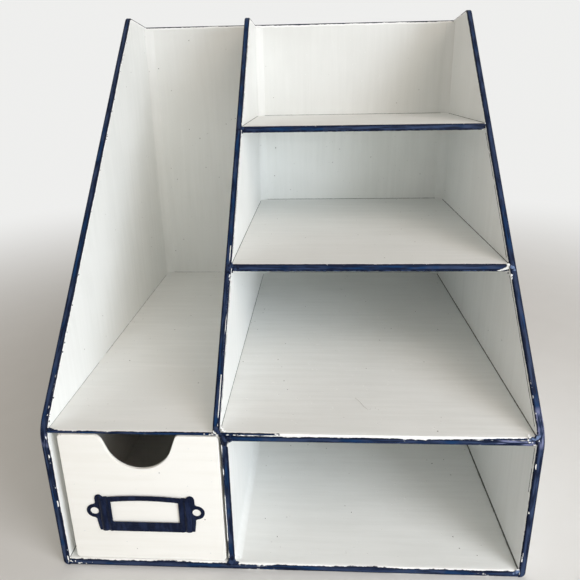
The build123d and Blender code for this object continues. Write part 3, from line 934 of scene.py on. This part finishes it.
def joint_smears():
    """Thick paint dabbed where the boards meet: navy knots with white pushed out round them."""
    middle = MIDDLE_TOP - SHELF / 2
    upper = UPPER_TOP - SHELF / 2
    knot_front = DECK_FRONT - 0.0006
    foot_x = (LOWER_LEFT + TRAY_LEFT) / 2
    base_front = low("base_panel").y
    foot_front = low("lower_divider").y
    smears = {
        "middle_left_knot": (dabbed_navy, rim_drops(DIVIDER_RIGHT, middle, [
            (-1.6, 0.8, 1.7, 3.0), (-1.3, -2.2, 1.5, 2.0)], 1.0) + drops(
            DIVIDER_RIGHT, MIDDLE_FRONT, middle, [
                (0.8, 0.2, 1.6, 3.1), (2.4, -0.1, 1.9, 2.6), (4.3, 0.0, 2.0, 2.35),
                (0.5, 3.2, 0.7, 1.2), (0.4, -3.2, 0.8, 1.3)], 1.0)),
        "middle_left_white": (filler_white, rim_drops(DIVIDER_RIGHT, middle, [
            (-0.6, -3.9, 0.6, 0.6), (-0.9, -4.9, 0.45, 0.8), (-0.5, -6.6, 0.35, 1.0)])
            + drops(DIVIDER_RIGHT, MIDDLE_FRONT, middle, [
                (0.5, -3.7, 0.8, 0.6), (1.6, -3.3, 1.0, 0.55), (3.2, -3.2, 1.2, 0.45),
                (5.4, -3.3, 1.4, 0.4), (8.4, -3.3, 1.5, 0.3)])),
        "middle_right_white": (filler_white, drops(RIGHT_INNER, MIDDLE_FRONT, middle, [
            (-0.8, 1.5, 1.3, 1.8), (-1.3, -0.2, 1.6, 1.5), (-3.2, -1.0, 1.7, 1.0),
            (-5.2, -1.8, 1.8, 0.6), (-7.4, -2.4, 1.8, 0.4), (-0.7, -3.0, 1.1, 1.0),
            (-2.2, -3.3, 1.2, 0.5), (-1.6, 2.9, 1.5, 0.5)], 1.0)
            + rim_drops(RIGHT_INNER, middle, [(-0.1, -4.0, 0.8, 1.3), (-0.2, -5.8, 0.5, 1.2)])),
        "middle_right_streak": (dabbed_navy, drops(
            RIGHT_INNER, MIDDLE_FRONT - 0.5 * MM, middle, [
                (-0.8, -1.8, 1.1, 0.4), (-2.2, -1.9, 0.9, 0.3), (-0.5, -4.3, 0.5, 0.6)])),
        # pale blue drops: rubbed paint, partly a painted highlight on the rim
        "middle_right_blue": (rubbed_blue_and_highlight, rim_drops(RIGHT_INNER, middle, [
            (0.9, 0.9, 1.0, 1.9), (2.0, 0.2, 1.3, 2.0), (2.8, -1.0, 1.0, 1.5)], 0.5)),
        "upper_left_knot": (dabbed_navy, rim_drops(DIVIDER_RIGHT, upper, [
            (-1.3, 0.3, 1.5, 2.6)], 0.9) + drops(DIVIDER_RIGHT, UPPER_FRONT, upper, [
                (0.6, 0.0, 1.6, 2.7), (2.2, 0.1, 1.7, 2.3), (0.3, -2.6, 0.7, 1.4)], 0.9)),
        "upper_right_white": (filler_white, drops(RIGHT_INNER, UPPER_FRONT, upper, [
            (-0.8, -2.4, 0.9, 0.5), (-2.2, -2.6, 1.1, 0.3), (-0.5, 2.4, 0.6, 0.6)])),
        "deck_knot": (dabbed_navy, drops(DIVIDER_RIGHT, knot_front, DECK_TOP, [
            (-2.3, 3.4, 1.6, 2.3), (-0.8, 1.2, 1.8, 2.0), (0.9, -1.4, 1.7, 2.1),
            (2.1, -4.0, 1.8, 2.2), (3.0, -6.3, 1.9, 2.2), (3.3, -8.5, 1.6, 1.8),
            (4.8, -4.7, 2.0, 2.0), (6.6, -5.0, 2.2, 1.9)], 1.2)),
        "deck_left_white": (filler_white, drops(DIVIDER_RIGHT, DECK_FRONT + 0.5 * MM, DECK_TOP, [
            (1.0, 4.6, 0.5, 1.3), (1.9, 2.8, 0.8, 1.2), (3.2, 1.4, 1.3, 0.7)], 1.2)),
        "deck_left_scrapes": (filler_white, drops(DIVIDER_LEFT, knot_front, DECK_TOP, [
            (0.9, 1.5, 0.6, 1.1), (2.0, 0.3, 1.1, 0.9), (0.0, -0.5, 1.0, 0.5),
            (3.2, -1.1, 1.0, 0.6), (-1.8, -0.9, 0.9, 0.4), (-5.6, -0.6, 0.6, 0.3)])),
        "deck_white_dabs": (filler_white, drops(DIVIDER_RIGHT, DECK_FRONT, DECK_TOP, [
            (5.4, -1.3, 1.2, 0.45), (10.4, -1.3, 1.5, 0.4), (12.2, -1.1, 0.5, 0.35),
            (14.8, -1.3, 0.9, 0.45), (17.2, -1.3, 0.8, 0.4), (20.6, -1.5, 1.4, 0.35),
            (24.4, -1.5, 1.5, 0.35)], 0.5)),
        "file_bay_left_knot": (dabbed_navy, drops(LEFT_INNER, DECK_FRONT, DECK_TOP, [
            (0.8, 0.6, 1.3, 1.4), (2.4, 1.1, 1.4, 1.2), (4.0, 0.5, 1.4, 0.9),
            (6.2, 0.1, 1.6, 0.6)])),
        "tray_corner_white": (filler_white, drops(TRAY_LEFT, DECK_FRONT, TRAY_ROOF, [
            (0.1, -2.1, 0.6, 0.9), (0.9, -1.3, 0.9, 0.5), (-0.1, -3.4, 0.4, 0.8)])),
        # pale blue drops: rubbed paint, partly a painted highlight at the junction
        "deck_right_blue": (rubbed_blue_and_highlight, drops(RIGHT_INNER, DECK_FRONT, DECK_TOP, [
            (-4.4, -2.0, 1.6, 1.2), (-2.4, -1.0, 1.9, 1.7), (-0.4, 0.2, 1.7, 1.8),
            (0.9, 1.2, 1.1, 1.2)], 1.0)),
        "deck_right_navy": (dabbed_navy, drops(RIGHT_INNER, DECK_FRONT - 0.3 * MM, DECK_TOP, [
            (-1.6, 2.6, 0.9, 0.4), (-0.5, 4.1, 0.7, 0.8), (-3.6, 0.6, 0.7, 0.3),
            (0.2, -4.0, 1.3, 1.5), (0.9, -1.8, 0.8, 1.0)])),
        "deck_right_white": (filler_white, drops(
            RIGHT_INNER, DECK_FRONT - 0.3 * MM, DECK_TOP, [
                (-6.2, 2.0, 0.6, 1.1), (-5.4, 0.4, 0.5, 0.9), (-4.3, 1.4, 0.4, 0.7),
                (-6.0, -1.5, 0.7, 0.8), (-4.9, -3.2, 0.8, 0.6), (-3.0, -3.4, 0.6, 0.4),
                (-1.4, -5.4, 1.3, 0.35)])),
        "left_foot_white": (filler_white, drops(LEFT_INNER, FRONT + 0.45 * MM, 0.0, [
            (-2.2, 10.8, 0.5, 1.4), (-1.2, 8.4, 0.5, 1.1), (-3.1, 7.4, 0.7, 0.6),
            (-0.9, 5.6, 0.8, 0.6), (0.9, 3.9, 1.1, 0.8), (1.9, 3.0, 0.7, 0.6),
            (4.4, 3.7, 0.5, 0.9), (7.3, 1.9, 1.3, 0.7), (8.9, 2.3, 1.0, 0.5),
            (12.6, 1.8, 0.6, 0.5), (17.5, 3.0, 0.4, 0.3), (-0.4, 14.5, 0.3, 1.3),
            (-0.6, 22.0, 0.3, 1.6)], 0.5)),
        # pale blue drops: rubbed paint, partly a painted highlight at the foot
        "right_foot_blue": (rubbed_blue_and_highlight, drops(RIGHT_INNER, FRONT + 0.6 * MM, 0.0, [
            (-3.6, 3.6, 1.3, 1.5), (-1.8, 4.6, 1.7, 1.8), (0.4, 5.4, 1.5, 1.6)], 0.62)),
        "right_foot_white": (filler_white, drops(RIGHT_INNER, FRONT + 0.45 * MM, 0.0, [
            (1.1, 13.0, 0.45, 1.8), (1.3, 15.4, 0.35, 1.2), (2.0, 6.8, 0.4, 0.5),
            (-1.0, 7.2, 1.6, 0.4)], 0.5)),
        "divider_foot_knot": (dabbed_navy, drops(foot_x, foot_front, BASE_TOP, [
            (0.1, 4.4, 2.3, 2.0), (-0.2, 2.4, 2.5, 2.0), (0.4, 0.9, 3.1, 1.5)], 0.9)
            + drops(foot_x, (base_front + foot_front) / 2, BASE_TOP, [
                (-0.6, -0.1, 3.0, 0.9), (1.9, -0.1, 2.6, 0.8), (4.2, -0.2, 1.8, 0.5)], 1.0)
            + drops(foot_x, base_front, BASE_TOP, [
                (0.2, -1.4, 3.4, 1.5), (3.4, -0.9, 2.4, 0.9), (-3.2, -1.2, 2.0, 1.0)], 0.55)),
    }
    for count, (name, (material, blobs)) in enumerate(smears.items()):
        smear(name, blobs, material, "case", 1.0 + count)


# ---- room: floor, world, lamp and camera ----
BACKDROP = (0.86, 0.86, 0.85, 1.0)


def rays_to_the_backdrop(sheet):
    """1 on the rays that see the pale backdrop: the camera's, mirrored and passed-through ones."""
    rays = sheet.put("ShaderNodeLightPath").node.outputs
    mirrored = sheet.sum_of("MAXIMUM", rays["Is Glossy Ray"], rays["Is Transmission Ray"])
    return sheet.sum_of("MAXIMUM", rays["Is Camera Ray"], mirrored)


def pale_floor():
    """A wide pale floor that fades into the surroundings far from the object."""
    radius = 8.0
    fade_start, fade_end = 0.28, 1.3
    dull, pale = (0.74, 0.735, 0.72, 1.0), (0.78, 0.775, 0.76, 1.0)
    mesh = bpy.data.meshes.new("floor")
    work = bmesh.new()
    bmesh.ops.create_circle(work, cap_ends=True, cap_tris=False, segments=96, radius=radius)
    work.to_mesh(mesh)
    work.free()
    floor = bpy.data.objects.new("floor", mesh)
    bpy.context.scene.collection.objects.link(floor)
    paint = Paint("floor_paint")
    grain = paint.cloud(0.05, detail=2.0)
    colour = paint.blend(grain, dull, pale)
    lit = paint.put("ShaderNodeBsdfDiffuse", {"Color": colour})
    glow = paint.put("ShaderNodeEmission", {"Color": BACKDROP, "Strength": 1.0})
    reach = paint.put("ShaderNodeVectorMath", {0: paint.place}, out="Value", operation="LENGTH")
    far = paint.fade(reach, fade_start, fade_end)
    seen = paint.sum_of("MULTIPLY", far, rays_to_the_backdrop(paint))
    shader = paint.put("ShaderNodeMixShader", {0: seen, 1: lit, 2: glow})
    paint.put("ShaderNodeOutputMaterial", {"Surface": shader})
    mesh.materials.append(paint.material)


def surroundings(strength):
    """Even light from all round, with a pale backdrop where the camera sees it."""
    fill_colour = (1.0, 0.94, 0.86, 1)
    world = bpy.data.worlds.new("surroundings")
    world.use_nodes = True
    bpy.context.scene.world = world
    sheet = NodeSheet(world.node_tree)
    world.node_tree.nodes.clear()
    seen = rays_to_the_backdrop(sheet)
    fill = sheet.put("ShaderNodeBackground", {"Color": fill_colour, "Strength": strength})
    pale = sheet.put("ShaderNodeBackground", {"Color": BACKDROP, "Strength": 1.0})
    mixed = sheet.put("ShaderNodeMixShader", {0: seen, 1: fill, 2: pale})
    sheet.put("ShaderNodeOutputWorld", {"Surface": mixed})


def lamp(name, towards, distance, size, power, colour):
    """A square lamp that looks at the middle of the object."""
    middle = Vector((0.0, 0.0, 0.18))
    data = bpy.data.lights.new(name, "AREA")
    data.shape = "SQUARE"
    data.size = size
    data.energy = power
    data.color = colour
    obj = bpy.data.objects.new(name, data)
    bpy.context.scene.collection.objects.link(obj)
    away = Vector(towards).normalized()
    obj.location = middle + away * distance
    obj.rotation_euler = away.to_track_quat("Z", "Y").to_euler()


def camera_of_the_photograph():
    """Camera at the photograph's angle; the image is square, 580 by 580."""
    image_side = 580.0
    focal_length_px = 537.81
    optical_axis_v = 253.15          # the picture is a crop, so its axis is above its middle
    yaw, pitch, roll = (math.radians(a) for a in (-3.12, 17.99, -1.07))
    place = (0.02165, -0.47300, 0.35018)
    data = bpy.data.cameras.new("camera")
    data.sensor_fit = "HORIZONTAL"
    data.sensor_width = 36.0
    data.lens = data.sensor_width * focal_length_px / image_side
    data.shift_y = (optical_axis_v - image_side / 2) / image_side
    camera = bpy.data.objects.new("camera", data)
    bpy.context.scene.collection.objects.link(camera)
    turn = (
        Matrix.Rotation(-yaw, 4, "Z")
        @ Matrix.Rotation(math.pi / 2 - pitch, 4, "X")
        @ Matrix.Rotation(roll, 4, "Z")
    )
    camera.matrix_world = Matrix.Translation(place) @ turn
    bpy.context.scene.camera = camera


# painted shade: dark and faint lines laid along seams and gaps where shade falls
seam_shade = seam_paint("seam_paint", SEAM_SHADE)
faint_seam_shade = seam_paint("faint_seam_paint", FAINT_SEAM_SHADE)
filler_white = seam_paint("filler_paint", WHITE_THICK)
dabbed_navy = thick_navy("dabbed_navy_paint", NAVY_WORN_AND_SHEEN)
# pale blue, partly a painted highlight
rubbed_blue_and_highlight = thick_navy("rubbed_blue_paint", BLUE_RUBBED_AND_HIGHLIGHT, bare=0.40)
holder_navy = thick_navy("holder_navy_paint", HOLDER_WORN, stretch=(1.0, 1.0, 0.25))
paint_nodes()
corner_lines()
paint_chips()
paint_nibs()
joint_smears()
pressed_label_holder(holder_navy)
pale_floor()
surroundings(0.445)
lamp("high_window_light", (0.50, -0.555, 0.666), 2.0, 1.0, 8.3, (1.0, 0.875, 0.783))
lamp("low_window_light", (0.72, -0.68, 0.15), 1.2, 0.6, 9.4, (0.853, 0.913, 1.0))
lamp("room_light", (0.25, -0.96, 0.03), 1.2, 0.6, 1.9, (0.90, 1.0, 0.97))
camera_of_the_photograph()

bpy.context.scene.view_settings.view_transform = "Standard"
